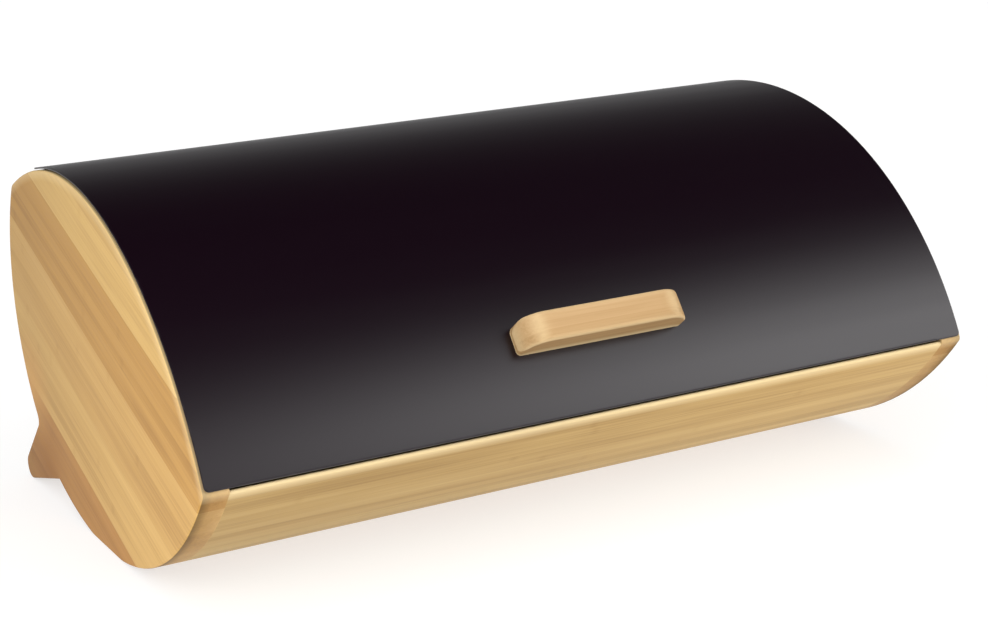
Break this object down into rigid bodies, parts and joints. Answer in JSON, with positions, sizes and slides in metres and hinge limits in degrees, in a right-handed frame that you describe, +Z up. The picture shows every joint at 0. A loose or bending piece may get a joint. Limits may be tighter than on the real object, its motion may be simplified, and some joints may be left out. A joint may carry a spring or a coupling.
{
  "type": "bread box",
  "caption": "Bread box with bamboo ends, front rail, base and back, and a curved black steel lid with a bamboo handle that rolls back over the top in grooves.",
  "frame": {"origin": "middle of the bounding box on the floor plane, lid closed", "axes": "+X along the box to the right as seen from the front, +Y to the back, +Z up"},
  "size_m": [0.3956, 0.2628, 0.174],
  "materials": {
    "bamboo": "laminated bamboo, clear satin lacquer",
    "beech": "plain fluted dowel stock",
    "black_lid": "satin black powder paint on sheet steel",
    "zinc_steel": "bright zinc plate",
    "nylon": "natural nylon"
  },
  "bodies": {
    "box": {"left_side_panel": "bamboo", "right_side_panel": "bamboo", "front_rail": "bamboo", "bottom_board": "bamboo", "back_board": "bamboo", "top_rail": "bamboo", "front_rail_dowels": "beech", "bottom_board_dowels": "beech", "back_board_dowels": "beech", "top_rail_dowels": "beech"},
    "lid": {"lid_shell": "black_lid", "handle_bar": "bamboo", "handle_screws": "zinc_steel", "handle_washers": "zinc_steel", "left_runner_bracket": "zinc_steel", "right_runner_bracket": "zinc_steel", "left_guide_pins": "zinc_steel", "right_guide_pins": "zinc_steel", "left_guide_sleeves": "nylon", "right_guide_sleeves": "nylon"}
  },
  "joints": [
    {"name": "lid_roll", "type": "hinge", "parent": "box", "child": "lid", "pos_m": [0, 0.03299, -0.00601], "axis": [-1, 0, 0], "range_deg": [0, 48]}
  ]
}
